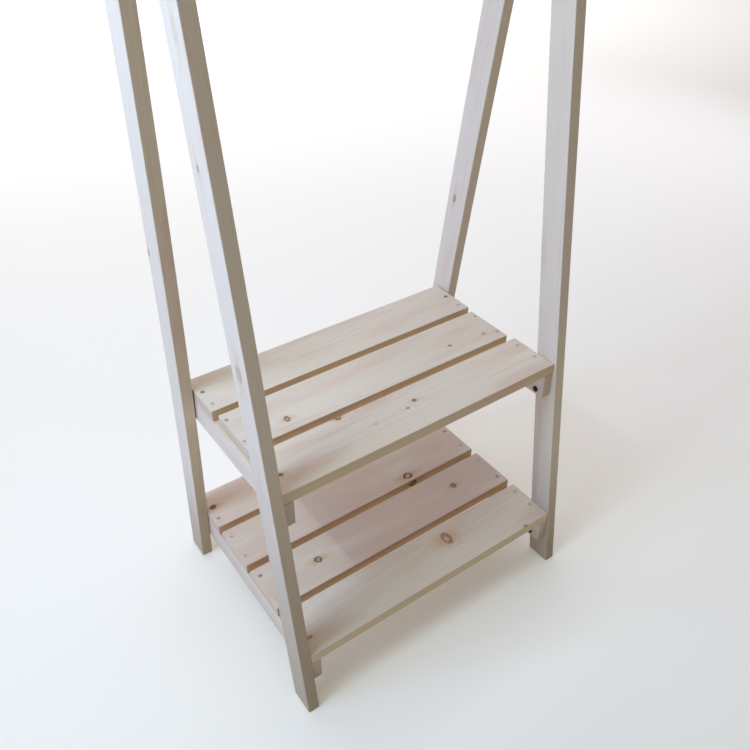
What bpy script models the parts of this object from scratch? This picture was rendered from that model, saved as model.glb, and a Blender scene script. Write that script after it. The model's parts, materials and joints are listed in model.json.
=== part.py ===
"""A wooden clothes rack: two leaning A-frames, two slatted shelves and a round hanging rod.

X runs along the slats, -Y is the front and +Z is up. The origin is on the floor, midway
between the four feet. Each back leg starts against the shelf rails, springs outwards and
laps the outside of its front leg, and the rod passes through both where they cross.
"""

import math

import bmesh
import bpy
from mathutils import Vector

# Timber sections
LEG_WIDTH = 0.045
LEG_THICK = 0.020
SLAT_WIDTH = 0.095
SLAT_THICK = 0.020
RAIL_HEIGHT = 0.045
RAIL_THICK = 0.018
ROD_DIAMETER = 0.025
EASED_EDGE = 0.0012

# Side frames
FOOT_CENTRE = 0.200  # from the middle of the rack to a leg's centre line at the floor
CROSS_HEIGHT = 1.525  # where the centre lines of a front and a back leg cross
LEG_ABOVE_CROSS = 0.045
BENT_LEG_STEPS = 12

# Shelves
SLAT_LENGTH = 0.522
MIDDLE_SLAT_CUT = 0.005  # the upper middle slat is this much shorter at each end
SLAT_GAP = 0.0135
UPPER_HEIGHT = 0.443  # floor to the top of the slats
LOWER_HEIGHT = 0.122
UPPER_SHIFT = -0.004  # the middle of the shelf's depth, from the middle of the rack
LOWER_SHIFT = 0.0035

# Hanging rod
ROD_PAST_LEG = 0.020
ROD_SIDES = 32

# Wood screws
SCREW_LENGTH = 0.038
ROD_SCREW_LENGTH = 0.028
SCREW_RADIUS = 0.002
SCREW_TIP = 0.006
SCREW_HEAD_RADIUS = 0.004
SCREW_HEAD_DEPTH = 0.0026
SCREW_SIDES = 10
# One pair for each slat, from the front: the slat's middle to its front and its back screw.
# They are driven by hand, so no two pairs are alike.
UPPER_SCREW_PAIRS = ((-0.012, 0.029), (-0.028, 0.031), (-0.030, 0.006))
LOWER_SCREW_PAIRS = ((-0.010, 0.030), (-0.028, 0.029), (-0.025, 0.028), (-0.026, 0.026))
SCREW_FROM_END = 0.011

# Bolts between rails and legs
BOLT_RADIUS = 0.003
BOLT_LENGTH = 0.032
BOLT_HEAD_RADIUS = 0.0053
BOLT_HEAD_HEIGHT = 0.0033
BOLT_SOCKET = 0.004  # across flats
BOLT_SOCKET_DEPTH = 0.002
BOLT_ABOVE_EDGE = 0.011  # from the rail's lower edge
BOLT_INWARD = 0.005  # from the leg's centre line towards the middle of the rack
RAIL_PAST_BOLT = 0.0075  # the least that a rail reaches beyond the middle of its bolt
BOLT_DOME_BASE = math.radians(20)  # where the domed head starts, above its widest circle
BOLT_DOME_TOP = math.radians(90)
BOLT_DOME_STEPS = 3
BOLT_SIDES = 16

# Clearances
TOUCH = 0.0003  # between two pieces that rest against each other
BORE_GAP = 0.0003  # between a fastener or the rod and its hole
LAP_GAP = 0.0005  # between crossing legs where they come closest
POCKET_OVERRUN = 0.001  # how far a cutter stands out of the face that it enters

LEAN = math.atan2(FOOT_CENTRE, CROSS_HEIGHT)
LEG_LEVEL_WIDTH = LEG_WIDTH / math.cos(LEAN)
LEG_TOP = CROSS_HEIGHT + LEG_ABOVE_CROSS
LEG_INNER_X = SLAT_LENGTH / 2 + TOUCH
BEND_START = LOWER_HEIGHT - SLAT_THICK
SMOOTH_UNDER = math.radians(30)
LAP_START = (FOOT_CENTRE - LEG_LEVEL_WIDTH / 2) / math.tan(LEAN)

WOOD = ("pine", (0.80, 0.73, 0.63, 1.0), 0.62, 0.0)
ROUND_WOOD = ("turned_pine", (0.82, 0.74, 0.62, 1.0), 0.55, 0.0)
SCREW_STEEL = ("zinc_steel", (0.62, 0.60, 0.55, 1.0), 0.42, 1.0)
BOLT_STEEL = ("black_steel", (0.02, 0.02, 0.022, 1.0), 0.38, 1.0)


def clear_scene():
    for obj in list(bpy.data.objects):
        bpy.data.objects.remove(obj, do_unlink=True)


def new_collection(name, hidden=False):
    collection = bpy.data.collections.new(name)
    collection.hide_render = hidden
    bpy.context.scene.collection.children.link(collection)
    return collection


def material(look):
    """The Principled material of one finish, made the first time that it is asked for."""
    name, colour, roughness, metallic = look
    if name in bpy.data.materials:
        return bpy.data.materials[name]
    made = bpy.data.materials.new(name)
    made.use_nodes = True
    shader = made.node_tree.nodes["Principled BSDF"]
    shader.inputs["Base Color"].default_value = colour
    shader.inputs["Roughness"].default_value = roughness
    shader.inputs["Metallic"].default_value = metallic
    return made


def add_object(name, mesh, collection, look=None, parent=None):
    obj = bpy.data.objects.new(name, mesh)
    collection.objects.link(obj)
    obj.parent = parent
    if look and not mesh.materials:
        mesh.materials.append(material(look))
    if collection.hide_render:
        obj.hide_render = True
        obj.display_type = "WIRE"
    return obj


def box_mesh(name, length, depth, height):
    """A box with its middle at the origin."""
    mesh = bpy.data.meshes.new(name)
    shape = bmesh.new()
    bmesh.ops.create_cube(shape, size=1.0)
    bmesh.ops.scale(shape, vec=(length, depth, height), verts=shape.verts)
    shape.to_mesh(mesh)
    shape.free()
    return mesh


def turned_mesh(name, points, sides, socket=None):
    """An outline in the XZ plane turned about Z, with a socket cut out of it if one is given."""
    outline = bpy.data.meshes.new(name)
    edges = [(i, i + 1) for i in range(len(points) - 1)]
    outline.from_pydata([(radius, 0.0, height) for radius, height in points], edges, [])
    blank = bpy.data.objects.new(name, outline)
    bpy.context.scene.collection.objects.link(blank)
    screw = blank.modifiers.new("turned", "SCREW")
    screw.steps = sides
    screw.render_steps = sides
    screw.use_merge_vertices = True
    screw.merge_threshold = 0.00002
    if socket:
        boolean = blank.modifiers.new("socket", "BOOLEAN")
        boolean.object = socket
        boolean.solver = "EXACT"
    graph = bpy.context.evaluated_depsgraph_get()
    mesh = bpy.data.meshes.new_from_object(blank.evaluated_get(graph), depsgraph=graph)
    bpy.data.objects.remove(blank, do_unlink=True)
    bpy.data.meshes.remove(outline)
    mesh.name = name
    mesh.shade_smooth()
    mesh.set_sharp_from_angle(angle=SMOOTH_UNDER)
    return mesh


def ease_edges(obj):
    bevel = obj.modifiers.new("eased edges", "BEVEL")
    bevel.width = EASED_EDGE
    bevel.segments = 1
    bevel.limit_method = "ANGLE"
    bevel.angle_limit = math.radians(40)


def cut_by(obj, pockets):
    boolean = obj.modifiers.new("holes", "BOOLEAN")
    boolean.operation = "DIFFERENCE"
    boolean.operand_type = "COLLECTION"
    boolean.collection = pockets
    boolean.solver = "EXACT"


def bend(height):
    """How far a back leg has sprung outwards at this height: a beam held at its lower end."""

    def deflection(at):
        share = (at - BEND_START) / (CROSS_HEIGHT - BEND_START)
        if share <= 0:
            return 0.0
        if share >= 1:
            return 1 + 1.5 * (share - 1)
        return (3 * share**2 - share**3) / 2

    return (LEG_THICK + LAP_GAP) * deflection(height) / deflection(LAP_START)


def leg_centre_y(height, front):
    """Where a leg's centre line is at this height. The front is at -Y."""
    away = FOOT_CENTRE - height * math.tan(LEAN)
    return -away if front else away


def leg_mesh(name, side, front):
    """A bar with level ends that leans in the YZ plane and, at the back, bends outwards."""
    mesh = box_mesh(name, LEG_THICK, LEG_LEVEL_WIDTH, LEG_TOP)
    shape = bmesh.new()
    shape.from_mesh(mesh)
    if not front:
        upright = [edge for edge in shape.edges if abs(edge.verts[0].co.z - edge.verts[1].co.z) > 0.1]
        bmesh.ops.subdivide_edges(shape, edges=upright, cuts=BENT_LEG_STEPS - 1, use_grid_fill=True)
    for vert in shape.verts:
        height = vert.co.z + LEG_TOP / 2
        outwards = LEG_INNER_X + LEG_THICK / 2 + (0.0 if front else bend(height))
        vert.co.x += side * outwards
        vert.co.y += leg_centre_y(height, front)
        vert.co.z = height
    shape.to_mesh(mesh)
    shape.free()
    return mesh


def bolt_height(shelf_height):
    return shelf_height - SLAT_THICK - TOUCH - RAIL_HEIGHT + BOLT_ABOVE_EDGE


def bolt_y(height, front):
    """A bolt sits a little inwards of its leg's centre line."""
    inward = BOLT_INWARD if front else -BOLT_INWARD
    return leg_centre_y(height, front) + inward


def shelf_rows(count, shift):
    """The middle of each slat's width, from the front slat to the back one."""
    pitch = SLAT_WIDTH + SLAT_GAP
    return [shift + (row - (count - 1) / 2) * pitch for row in range(count)]


def screw_points(length, grow=0.0, above=0.0):
    """A countersunk screw's outline from the middle of its head down to its point."""
    slope = (SCREW_HEAD_RADIUS - SCREW_RADIUS) / SCREW_HEAD_DEPTH
    rim = SCREW_HEAD_RADIUS + grow + above * slope
    shank = SCREW_RADIUS + grow
    return [
        (0.0, above),
        (rim, above),
        (shank, -SCREW_HEAD_DEPTH),
        (shank, -length + SCREW_TIP),
        (0.0, -length - grow),
    ]


def screw_meshes(kind, length):
    """A screw's own mesh and the pocket that it is driven into."""
    screw = turned_mesh(f"{kind}_screw", screw_points(length), SCREW_SIDES)
    pocket_points = screw_points(length, BORE_GAP, POCKET_OVERRUN)
    return screw, turned_mesh(f"{kind}_screw_pocket", pocket_points, SCREW_SIDES)


def place_fastener(name, meshes, look, location, rotation, makers):
    """One screw or bolt, and its cutter in the same place."""
    rack, parts, pockets = makers
    fastener = add_object(name, meshes[0], parts, look, rack)
    cutter = add_object(f"{name}_pocket", meshes[1], pockets)
    for obj in (fastener, cutter):
        obj.location = location
        obj.rotation_euler = rotation


def make_legs(makers):
    rack, parts, pockets = makers
    for side, hand in ((-1, "left"), (1, "right")):
        for front, place in ((True, "front"), (False, "back")):
            name = f"leg_{place}_{hand}"
            leg = add_object(name, leg_mesh(name, side, front), parts, WOOD, rack)
            ease_edges(leg)
            cut_by(leg, pockets)


def make_shelf(level, screw_pairs, height, shift, makers):
    """One shelf: its two end rails, a slat for each screw pair, and that pair at both its ends."""
    rack, parts, pockets = makers
    screws = screw_meshes(level, SCREW_LENGTH)
    rows = shelf_rows(len(screw_pairs), shift)
    bolts_at = bolt_height(height)
    rail_front = min(rows[0] - SLAT_WIDTH / 2, bolt_y(bolts_at, True) - RAIL_PAST_BOLT)
    rail_back = max(rows[-1] + SLAT_WIDTH / 2, bolt_y(bolts_at, False) + RAIL_PAST_BOLT)
    rail_depth = rail_back - rail_front
    rail_top = height - SLAT_THICK - TOUCH
    rail_x = SLAT_LENGTH / 2 - RAIL_THICK / 2
    for side, hand in ((-1, "left"), (1, "right")):
        name = f"rail_{level}_{hand}"
        rail = add_object(name, box_mesh(name, RAIL_THICK, rail_depth, RAIL_HEIGHT), parts, WOOD, rack)
        rail_middle = (rail_front + rail_back) / 2
        rail.location = (side * rail_x, rail_middle, rail_top - RAIL_HEIGHT / 2)
        ease_edges(rail)
        cut_by(rail, pockets)
    for number, row in enumerate(rows, 1):
        shorter = MIDDLE_SLAT_CUT if (level, number) == ("upper", 2) else 0.0
        name = f"slat_{level}_{number}"
        mesh = box_mesh(name, SLAT_LENGTH - 2 * shorter, SLAT_WIDTH, SLAT_THICK)
        slat = add_object(name, mesh, parts, WOOD, rack)
        slat.location = (0.0, row, height - SLAT_THICK / 2)
        ease_edges(slat)
        cut_by(slat, pockets)
        for side, hand in ((-1, "left"), (1, "right")):
            for across, mark in zip(screw_pairs[number - 1], "ab"):
                spot = (side * (SLAT_LENGTH / 2 - SCREW_FROM_END), row + across, height)
                screw_name = f"screw_{level}_{number}_{hand}_{mark}"
                place_fastener(screw_name, screws, SCREW_STEEL, spot, (0.0, 0.0, 0.0), makers)


def hexagon_object(collection):
    """The prism that cuts the bolt's socket, across the top of its head."""
    shape = bmesh.new()
    radius = BOLT_SOCKET / 2 / math.cos(math.radians(30))
    depth = 2 * BOLT_SOCKET_DEPTH
    bmesh.ops.create_cone(shape, cap_ends=True, segments=6, radius1=radius, radius2=radius, depth=depth)
    bmesh.ops.translate(shape, vec=(0, 0, BOLT_HEAD_HEIGHT), verts=shape.verts)
    mesh = bpy.data.meshes.new("bolt_socket")
    shape.to_mesh(mesh)
    shape.free()
    return add_object("bolt_socket", mesh, collection)


def bolt_meshes(pockets):
    """A button-head bolt along Z, its head's underside at the origin, and its bore."""
    dome = []
    for step in range(BOLT_DOME_STEPS + 1):
        angle = BOLT_DOME_TOP + (BOLT_DOME_BASE - BOLT_DOME_TOP) * step / BOLT_DOME_STEPS
        reach = math.cos(angle) / math.cos(BOLT_DOME_BASE)
        rise = (math.sin(angle) - math.sin(BOLT_DOME_BASE)) / (1 - math.sin(BOLT_DOME_BASE))
        dome.append((BOLT_HEAD_RADIUS * reach, BOLT_HEAD_HEIGHT * rise))
    shank = [(BOLT_RADIUS, 0.0), (BOLT_RADIUS, -BOLT_LENGTH), (0.0, -BOLT_LENGTH)]
    socket = hexagon_object(pockets)
    bolt = turned_mesh("bolt", dome + shank, BOLT_SIDES, socket)
    bpy.data.objects.remove(socket, do_unlink=True)
    bore_radius = BOLT_RADIUS + BORE_GAP
    bore_end = -BOLT_LENGTH - BORE_GAP
    bore_points = [(0.0, POCKET_OVERRUN), (bore_radius, POCKET_OVERRUN)]
    bore_points += [(bore_radius, bore_end), (0.0, bore_end)]
    return bolt, turned_mesh("bolt_bore", bore_points, BOLT_SIDES)


def make_bolts(makers):
    """A bolt from each rail's inner face out into each leg."""
    meshes = bolt_meshes(makers[2])
    head_x = SLAT_LENGTH / 2 - RAIL_THICK - TOUCH
    for level, height in (("upper", UPPER_HEIGHT), ("lower", LOWER_HEIGHT)):
        z = bolt_height(height)
        for side, hand in ((-1, "left"), (1, "right")):
            for front, place in ((True, "front"), (False, "back")):
                spot = (side * head_x, bolt_y(z, front), z)
                outwards = (0.0, -side * math.radians(90), 0.0)
                place_fastener(f"bolt_{level}_{place}_{hand}", meshes, BOLT_STEEL, spot, outwards, makers)


def make_rod(makers):
    """The round rod through the crossing legs, and a screw into it from each leg's edge."""
    rack, parts, pockets = makers
    back_leg_middle = LEG_INNER_X + LEG_THICK / 2 + bend(CROSS_HEIGHT)
    reach = back_leg_middle + LEG_THICK / 2 + ROD_PAST_LEG
    radius = ROD_DIAMETER / 2
    rod_points = [
        (0.0, reach),
        (radius - EASED_EDGE, reach),
        (radius, reach - EASED_EDGE),
        (radius, -reach + EASED_EDGE),
        (radius - EASED_EDGE, -reach),
        (0.0, -reach),
    ]
    bore_radius = radius + BORE_GAP
    bore_points = [(0.0, reach), (bore_radius, reach), (bore_radius, -reach), (0.0, -reach)]
    rod_mesh = turned_mesh("hanging_rod", rod_points, ROD_SIDES)
    rod = add_object("hanging_rod", rod_mesh, parts, ROUND_WOOD, rack)
    bore_mesh = turned_mesh("rod_bore", bore_points, ROD_SIDES)
    bore = add_object("rod_bore", bore_mesh, bpy.data.collections["rod_bore"])
    for obj in (rod, bore):
        obj.location = (0.0, 0.0, CROSS_HEIGHT)
        obj.rotation_euler = (0.0, math.radians(90), 0.0)
    cut_by(rod, pockets)
    screws = screw_meshes("rod", ROD_SCREW_LENGTH)
    for side, hand in ((-1, "left"), (1, "right")):
        for front, place in ((True, "front"), (False, "back")):
            middle = LEG_INNER_X + LEG_THICK / 2 if front else back_leg_middle
            into = Vector((0.0, math.cos(LEAN), -math.sin(LEAN)))
            if not front:
                into.y = -into.y
            spot = Vector((side * middle, 0.0, CROSS_HEIGHT)) - into * LEG_WIDTH / 2
            turned = into.to_track_quat("-Z", "Y").to_euler()
            name = f"rod_screw_{place}_{hand}"
            place_fastener(name, screws, SCREW_STEEL, spot, turned, makers)
            leg = bpy.data.objects[f"leg_{place}_{hand}"]
            boolean = leg.modifiers.new("rod bore", "BOOLEAN")
            boolean.operation = "DIFFERENCE"
            boolean.object = bore
            boolean.solver = "EXACT"


def main():
    clear_scene()
    parts = new_collection("clothes_rack")
    pockets = new_collection("pockets", hidden=True)
    new_collection("rod_bore", hidden=True)
    rack = bpy.data.objects.new("rack", None)
    parts.objects.link(rack)
    makers = (rack, parts, pockets)
    make_legs(makers)
    make_shelf("lower", LOWER_SCREW_PAIRS, LOWER_HEIGHT, LOWER_SHIFT, makers)
    make_shelf("upper", UPPER_SCREW_PAIRS, UPPER_HEIGHT, UPPER_SHIFT, makers)
    make_bolts(makers)
    make_rod(makers)


main()
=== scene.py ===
# %% [markdown]
# # A wooden clothes rack
# Two leaning A-frames carry a round hanging rod where their legs cross, and two slatted shelves
# on end rails. Every board is planed softwood with eased edges, held by screws and bolts.
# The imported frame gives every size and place. This lesson makes finer boards, real screw heads
# and a solid wood grain around it, and then lights the rack softly.

# %% Load the frame
import json
import math

import bmesh
import bpy
from mathutils import Matrix, Vector


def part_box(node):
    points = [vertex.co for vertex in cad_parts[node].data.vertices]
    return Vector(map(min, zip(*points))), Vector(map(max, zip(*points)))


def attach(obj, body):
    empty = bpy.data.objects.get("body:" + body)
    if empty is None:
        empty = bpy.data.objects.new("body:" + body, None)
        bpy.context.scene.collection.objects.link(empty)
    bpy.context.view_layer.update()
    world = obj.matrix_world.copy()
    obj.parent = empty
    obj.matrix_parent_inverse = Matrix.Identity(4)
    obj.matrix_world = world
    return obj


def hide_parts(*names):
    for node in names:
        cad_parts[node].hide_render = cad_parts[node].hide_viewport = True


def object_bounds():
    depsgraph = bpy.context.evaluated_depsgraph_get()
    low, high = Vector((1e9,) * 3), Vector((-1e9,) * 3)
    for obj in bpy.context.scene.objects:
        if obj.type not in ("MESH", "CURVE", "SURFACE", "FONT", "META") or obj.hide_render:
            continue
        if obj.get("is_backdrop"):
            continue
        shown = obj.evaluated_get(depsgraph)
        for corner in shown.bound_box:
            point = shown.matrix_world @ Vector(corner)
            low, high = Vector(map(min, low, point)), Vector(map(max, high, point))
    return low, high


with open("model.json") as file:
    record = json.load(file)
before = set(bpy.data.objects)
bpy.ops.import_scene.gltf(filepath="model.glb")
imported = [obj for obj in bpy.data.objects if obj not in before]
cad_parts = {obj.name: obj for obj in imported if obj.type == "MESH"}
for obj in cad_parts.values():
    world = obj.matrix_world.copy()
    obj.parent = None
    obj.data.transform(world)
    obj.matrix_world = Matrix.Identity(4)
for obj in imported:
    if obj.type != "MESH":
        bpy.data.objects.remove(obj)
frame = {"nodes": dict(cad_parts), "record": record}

cad_low, cad_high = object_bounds()
print("frame", [round(side, 4) for side in cad_high - cad_low], len(frame["nodes"]), "nodes")

# %% [markdown]
# ## The camera
# The rack is looked at from the front left and from above, so that both shelves show their tops.
# A camera's matrix has its right, up and backward directions as columns. We work them out from
# a compass turn and a tilt, and roll the pair of sideways directions a hair.

# %% Place the camera
CAMERA_PLACE = Vector((-0.586, -0.835, 1.215))
CAMERA_TURN = math.radians(35.42)
CAMERA_TILT = math.radians(-37.39)
CAMERA_ROLL = math.radians(0.13)
CAMERA_LENS = 37.28


def aim_camera():
    level = Vector((math.sin(CAMERA_TURN), math.cos(CAMERA_TURN), 0.0))
    ahead = math.cos(CAMERA_TILT) * level + Vector((0.0, 0.0, math.sin(CAMERA_TILT)))
    right = Vector((math.cos(CAMERA_TURN), -math.sin(CAMERA_TURN), 0.0))
    up = right.cross(ahead)
    rolled_right = math.cos(CAMERA_ROLL) * right + math.sin(CAMERA_ROLL) * up
    rolled_up = math.cos(CAMERA_ROLL) * up - math.sin(CAMERA_ROLL) * right
    turn = Matrix((rolled_right, rolled_up, -ahead)).transposed().to_4x4()
    return Matrix.Translation(CAMERA_PLACE) @ turn


scene = bpy.context.scene
camera = bpy.data.objects.new("camera", bpy.data.cameras.new("camera"))
camera.data.lens = CAMERA_LENS
camera.matrix_world = aim_camera()
scene.collection.objects.link(camera)
scene.camera = camera
print("camera at", [round(part, 3) for part in camera.location])

# %% [markdown]
# ## Reading sizes off the frame
# A leg's centre line stands on its foot and passes through the rod, so those two points give
# its lean. The timber sections come from the boxes of the frame's own nodes. The back legs stand
# further out at the top than at the foot, and that difference is their spring.

# %% Measure the timber
FOOT = Vector(next(m["pos_m"] for m in frame["record"]["mounts"] if m["name"] == "foot_back_right"))
rod_low, rod_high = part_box("hanging_rod")
ROD_RADIUS = (rod_high.z - rod_low.z) / 2
CROSS_HEIGHT = (rod_low.z + rod_high.z) / 2
LEAN_SLOPE = FOOT.y / CROSS_HEIGHT
LEAN = math.atan(LEAN_SLOPE)

front_low, front_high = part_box("leg_front_right")
back_low, back_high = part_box("leg_back_right")
LEG_TOP = front_high.z
LEG_THICK = front_high.x - front_low.x
LEG_LEVEL_WIDTH = (front_high.y - front_low.y) - LEG_TOP * LEAN_SLOPE
BACK_SPRING = (back_high.x - back_low.x) - LEG_THICK
CLAMP_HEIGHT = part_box("slat_lower_1")[0].z
print("lean", round(math.degrees(LEAN), 2), "degrees, level width", round(LEG_LEVEL_WIDTH, 4))
print("the back legs spring", round(BACK_SPRING * 1000, 1), "mm outwards")

# %% [markdown]
# ## Small helpers for node trees
# Shader and geometry trees are wired the same way, so one helper adds a node and fills its
# inputs: a socket is linked, and anything else becomes the input's value. The others are the
# few nodes that wood, steel and boards all need, so that each later tree reads like a sum.

# %% Node helpers
def add_node(tree, kind, inputs=None, **settings):
    node = tree.nodes.new(kind)
    for key, value in settings.items():
        setattr(node, key, value)
    for key, value in (inputs or {}).items():
        if isinstance(value, bpy.types.NodeSocket):
            tree.links.new(value, node.inputs[key])
        else:
            node.inputs[key].default_value = value
    return node


def maths(tree, operation, *values, clamp=False):
    inputs = dict(enumerate(values))
    node = add_node(tree, "ShaderNodeMath", inputs, operation=operation, use_clamp=clamp)
    return node.outputs[0]


def vector(tree, operation, *values):
    node = add_node(tree, "ShaderNodeVectorMath", dict(enumerate(values)), operation=operation)
    scalar = operation in ("LENGTH", "DOT_PRODUCT", "DISTANCE")
    return node.outputs["Value" if scalar else "Vector"]


def parts_of(tree, source):
    return add_node(tree, "ShaderNodeSeparateXYZ", {0: source}).outputs


def fade(tree, value, start, end, low=0.0, high=1.0, kind="SMOOTHSTEP"):
    """A value that goes from low at start to high at end, and stays there beyond them."""
    inputs = {"Value": value, "From Min": start, "From Max": end, "To Min": low, "To Max": high}
    return add_node(tree, "ShaderNodeMapRange", inputs, interpolation_type=kind).outputs["Result"]


def noise(tree, source, fineness, detail, seed=None, roughness=0.5):
    """Cloudy noise. fineness says how fine it is along each axis, and a seed makes it another cloud."""
    inputs = {"Vector": vector(tree, "MULTIPLY", source, fineness), "Scale": 1.0}
    inputs.update({"Detail": detail, "Roughness": roughness})
    if seed is not None:
        inputs["W"] = seed
    kind = "3D" if seed is None else "4D"
    return add_node(tree, "ShaderNodeTexNoise", inputs, noise_dimensions=kind).outputs["Fac"]


def mix(tree, share, first, second, blend="MIX"):
    inputs = {0: share, 6: first, 7: second}
    return add_node(tree, "ShaderNodeMix", inputs, data_type="RGBA", blend_type=blend).outputs[2]


NODE_HELPERS = (add_node, maths, vector, parts_of, fade, noise, mix)
print("node helpers:", ", ".join(helper.__name__ for helper in NODE_HELPERS))

# %% [markdown]
# A node group is a tree with named inputs and outputs, and a material holds a tree of its own.
# Every tree that makes a piece ends in the same two nodes: copies are made real, so that the
# rack ends as plain meshes, and the finish is put on.

# %% Groups, materials and objects
def new_tree(name, kind, sockets_in, sockets_out):
    tree = bpy.data.node_groups.new(name, kind)
    for direction, sockets in (("INPUT", sockets_in), ("OUTPUT", sockets_out)):
        for label, socket in sockets.items():
            tree.interface.new_socket(label, in_out=direction, socket_type=f"NodeSocket{socket}")
    return tree, tree.nodes.new("NodeGroupInput").outputs, tree.nodes.new("NodeGroupOutput").inputs


def end_tree(tree, geometry, finish, result):
    real = add_node(tree, "GeometryNodeRealizeInstances", {"Geometry": geometry}).outputs["Geometry"]
    inputs = {"Geometry": real, "Material": finish}
    finished = add_node(tree, "GeometryNodeSetMaterial", inputs).outputs["Geometry"]
    tree.links.new(finished, result["Geometry"])


def new_material(name):
    made = bpy.data.materials.new(name)
    made.use_nodes = True
    return made, made.node_tree, made.node_tree.nodes["Principled BSDF"]


def new_object(name, data):
    made = bpy.data.objects.new(name, data)
    scene.collection.objects.link(made)
    return made


def mesh_from(shape, name):
    mesh = bpy.data.meshes.new(name)
    shape.to_mesh(mesh)
    shape.free()
    return mesh


# %% [markdown]
# ## Growth rings
# A board is cut from a log, so its lines are slices of rings round the pith. If the pattern is
# the distance from a pith line in space, the faces, the edges and the ends all agree, as they
# do in real wood. A trunk is never a perfect cone, so the rings wander, run out along the board
# and ripple.

# %% Count the rings
RING_WANDER = 0.0065
RING_RUN_OUT = 0.012
RING_RIPPLE = 0.35
WANDER_FINENESS = (2.2, 9.0, 9.0)
RIPPLE_FINENESS = (14.0, 90.0, 90.0)


def ring_count(tree, given):
    """How many rings lie between the pith and each point of the board."""
    board = given["Board"]
    wander = noise(tree, board, WANDER_FINENESS, 2.0, given["Seed"])
    sway = maths(tree, "MULTIPLY", maths(tree, "SUBTRACT", wander, 0.5), RING_WANDER * 2)
    from_pith = vector(tree, "SUBTRACT", board, given["Pith"])
    across = vector(tree, "MULTIPLY", from_pith, (0.0, 1.0, 1.0))
    radius = maths(tree, "ADD", vector(tree, "LENGTH", across), sway)
    radius = maths(tree, "MULTIPLY_ADD", parts_of(tree, board)["X"], RING_RUN_OUT, radius)
    radius = maths(tree, "ADD", radius, given["Bulge"])
    count = maths(tree, "DIVIDE", radius, given["Ring Width"])
    ripple = noise(tree, board, RIPPLE_FINENESS, 1.0)
    return maths(tree, "MULTIPLY_ADD", ripple, RING_RIPPLE, count)


print("rings wander by up to", RING_WANDER * 1000, "mm")

# %% [markdown]
# Each ring is pale early wood that darkens slowly and then stops at a thin late line. Over the
# rings lie three noises, all stretched along the grain: fine fibres, broad clouds of colour and
# thin streaks. They go into one group, so that every board can share it.

# %% The growth ring group
FAINTEST_YEAR = 0.35
YEAR_DARKENS = (0.25, 0.88)
YEAR_ENDS = (0.90, 1.0)
FIBRE_FINENESS = (28.0, 1500.0, 1500.0)
BROAD_FINENESS = (5.0, 26.0, 26.0)
STREAK_FINENESS = (4.0, 260.0, 260.0)


def late_wood(tree, count):
    """The dark line that ends each year, which is stronger in some years than in others."""
    season = maths(tree, "FRACT", count)
    rise = fade(tree, season, *YEAR_DARKENS)
    fall = fade(tree, season, *YEAR_ENDS, 1.0, 0.0)
    year = maths(tree, "FLOOR", count)
    chance = add_node(tree, "ShaderNodeTexWhiteNoise", {"W": year}, noise_dimensions="1D")
    strength = fade(tree, chance.outputs["Value"], 0.0, 1.0, FAINTEST_YEAR, 1.0, "LINEAR")
    return maths(tree, "MULTIPLY", maths(tree, "MULTIPLY", rise, fall), strength)


def growth_rings():
    """Board space in, grain along X, in metres. Out: late wood, fibres, broad colour and streaks."""
    sockets = {"Board": "Vector", "Pith": "Vector", "Ring Width": "Float", "Bulge": "Float", "Seed": "Float"}
    outs = {"Late": "Float", "Fibre": "Float", "Broad": "Float", "Streak": "Float"}
    tree, given, result = new_tree("growth rings", "ShaderNodeTree", sockets, outs)
    board, seed = given["Board"], given["Seed"]
    made = {
        "Late": late_wood(tree, ring_count(tree, given)),
        "Fibre": noise(tree, board, FIBRE_FINENESS, 3.0, roughness=0.6),
        "Broad": noise(tree, board, BROAD_FINENESS, 3.0, seed),
        "Streak": noise(tree, board, STREAK_FINENESS, 2.0, seed),
    }
    for label, value in made.items():
        tree.links.new(value, result[label])
    return tree


RINGS = growth_rings()
print("growth rings:", len(RINGS.nodes), "nodes")

# %% [markdown]
# ## Knots
# A knot is a branch that the trunk has grown round. It is a short cylinder through the board:
# a bark-brown rim, a core that is paler or darker than the board, and rings that part round it.
# The rim is bark, which is thick in some places and nearly gone in others.

# %% A knot's rim
RIM_THIN = 0.32
RIM_THICK = 0.75
BARK_PATCHES = (0.35, 0.65)
RIM_SOFTENS = (0.2, 1.0)
RIM_FINENESS = (0.7, 0.7, 0.7)
KNOT_TO_KNOT = (90.0, 90.0, 90.0)


def knot_rim(tree, given, offset, away):
    """A line round the knot, thick in places as bark is. Each knot reads another bit of noise."""
    own = vector(tree, "ADD", vector(tree, "MULTIPLY", offset, RIM_FINENESS),
                 vector(tree, "MULTIPLY", given["Centre"], KNOT_TO_KNOT))
    patch = noise(tree, own, (1.0, 1.0, 1.0), 1.0)
    thick = fade(tree, patch, *BARK_PATCHES, RIM_THIN, RIM_THICK)
    from_rim = maths(tree, "ABSOLUTE", maths(tree, "SUBTRACT", away, 1.0))
    line = fade(tree, maths(tree, "DIVIDE", from_rim, thick), *RIM_SOFTENS, 1.0, 0.0)
    return maths(tree, "MULTIPLY", line, given["Rim"])


print("a rim is", RIM_THIN, "to", RIM_THICK, "of the knot's radius wide")

# %% [markdown]
# One group makes one knot, and a board chains as many as it has. So each group also takes what
# the knots before it made, and hands on both together. The halo is drawn out along the grain,
# as resin runs that way, and it also pushes the rings apart.

# %% The knot group
RIM_RAGGED = 0.7
CORE_EDGE = (0.75, 1.1)
HALO_STARTS = 0.3
HALO_REACH = 3.4
HALO_FALL = 3.0
GRAIN_STRETCH = 0.38
RING_BULGE = 1.5
RAGGED_FINENESS = (260.0, 260.0, 260.0)


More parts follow.
